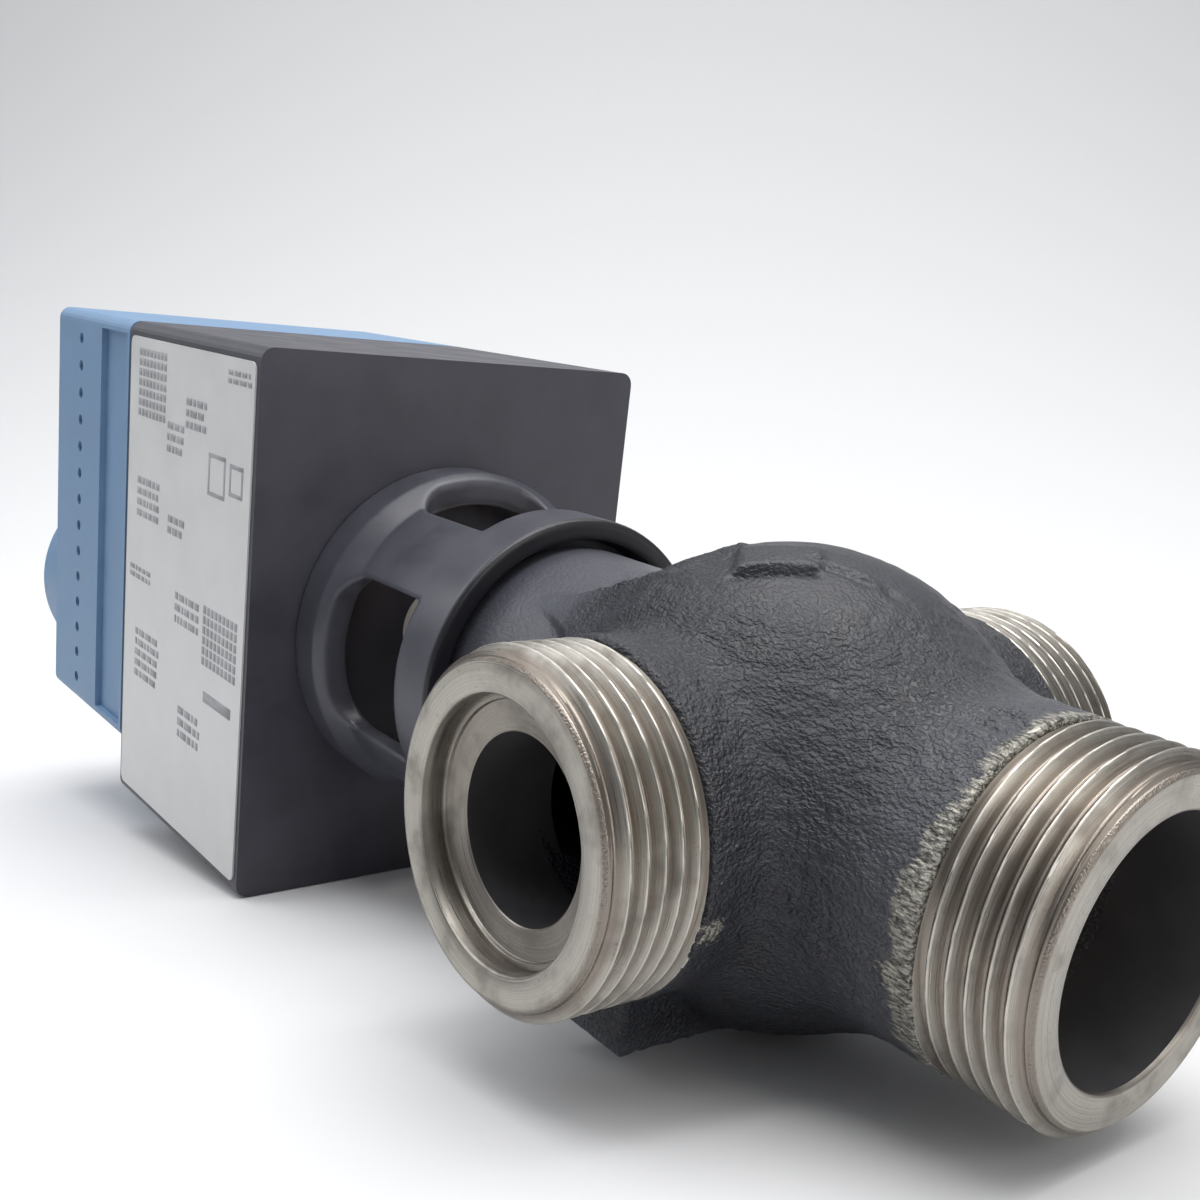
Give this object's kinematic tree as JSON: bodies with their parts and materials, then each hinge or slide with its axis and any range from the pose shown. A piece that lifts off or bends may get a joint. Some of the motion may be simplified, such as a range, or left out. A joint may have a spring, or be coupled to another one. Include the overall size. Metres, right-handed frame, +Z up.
{
  "type": "three-port valve with stem actuator",
  "caption": "Three-port seat valve with outside-threaded ports, a slotted yoke and a box-shaped electric stem actuator with a rear cover and hand knob.",
  "frame": {"origin": "centre of the axial port's end face", "axes": "+X out of the axial port along the stem axis, away from the actuator; in-line ports along -Y and +Y; +Z up, with the stem axis level"},
  "size_m": [0.246, 0.0965, 0.091],
  "materials": {
    "body_casting": "coarse cast surface, satin black paint, bare machined threads and port mouths",
    "bronze": "hobbed",
    "stainless": "ground",
    "seal_rubber": "matte",
    "packing": "waxy",
    "yoke_plastic": "fine moulded texture",
    "brass_nut": "turned",
    "screw_steel": "zinc plated",
    "housing_plastic": "fine moulded texture",
    "sheet_steel": "drawn steel can",
    "gear_plastic": "moulded acetal",
    "blue_plastic": "moulded, satin",
    "board": "solder mask",
    "terminal_plastic": "moulded",
    "capacitor_film": "film sleeve",
    "gland_plastic": "moulded nylon",
    "label_film": "printed film"
  },
  "bodies": {
    "valve": {"valve_body": "body_casting", "seat_ring": "bronze", "bonnet": "bronze", "bonnet_seal": "seal_rubber", "stem_packing": "packing", "gland_nut": "bronze", "yoke": "yoke_plastic", "yoke_nut": "brass_nut", "yoke_screws": "screw_steel", "spindle_bush": "packing", "housing": "housing_plastic", "gear_plate": "sheet_steel", "plate_screws": "screw_steel", "gear_axles": "stainless", "drive_bearings": "stainless", "motor": "sheet_steel", "motor_screws": "screw_steel", "circuit_board": "board", "board_screws": "screw_steel", "terminal_block": "terminal_plastic", "capacitor": "capacitor_film", "cover_seal": "seal_rubber", "cover": "blue_plastic", "cover_screws": "screw_steel", "cable_gland": "gland_plastic", "gland_insert": "seal_rubber", "blanking_plug": "gland_plastic", "label": "label_film"},
    "stem_group": {"plug": "stainless", "stem": "stainless", "stem_coupling": "brass_nut", "coupling_screw": "screw_steel", "drive_spindle": "stainless"},
    "drive_gear": {"drive_gear": "gear_plastic"},
    "second_gear": {"second_gear": "gear_plastic"},
    "first_gear": {"first_gear": "gear_plastic"},
    "motor_rotor": {"motor_shaft": "stainless", "motor_pinion": "bronze"},
    "hand_drive": {"hand_pinion": "gear_plastic", "hand_shaft": "stainless", "hand_knob": "blue_plastic", "knob_screw": "screw_steel"}
  },
  "joints": [
    {"name": "drive_turn", "type": "hinge", "parent": "valve", "child": "drive_gear", "pos_m": [-0.146, 0, 0], "axis": [1, 0, 0], "range_deg": [0, 660]},
    {"name": "stem_travel", "type": "slide", "parent": "valve", "child": "stem_group", "axis": [-1, 0, 0], "range_m": [0, 0.0055]},
    {"name": "second_turn", "type": "hinge", "parent": "valve", "child": "second_gear", "pos_m": [-0.15, 0.01282, 0.02221], "axis": [1, 0, 0], "range_deg": [-2358.14, 1]},
    {"name": "first_turn", "type": "hinge", "parent": "valve", "child": "first_gear", "pos_m": [-0.155, -0.00962, 0.02221], "axis": [1, 0, 0], "range_deg": [-1, 7072.43]},
    {"name": "motor_turn", "type": "hinge", "parent": "valve", "child": "motor_rotor", "pos_m": [-0.156, -0.01648, 0.00337], "axis": [1, 0, 0], "range_deg": [-18184.67, 1]},
    {"name": "hand_turn", "type": "hinge", "parent": "valve", "child": "hand_drive", "pos_m": [-0.24, -0.01973, -0.01575], "axis": [1, 0, 0], "range_deg": [-2539.46, 1]}
  ],
  "couplings": [
    {"joint": "stem_travel", "follows": "drive_turn", "m_per_rad": 0.00047746},
    {"joint": "second_turn", "follows": "drive_turn", "ratio": -3.5714},
    {"joint": "first_turn", "follows": "drive_turn", "ratio": 10.714},
    {"joint": "motor_turn", "follows": "drive_turn", "ratio": -27.551},
    {"joint": "hand_turn", "follows": "drive_turn", "ratio": -3.8462}
  ]
}
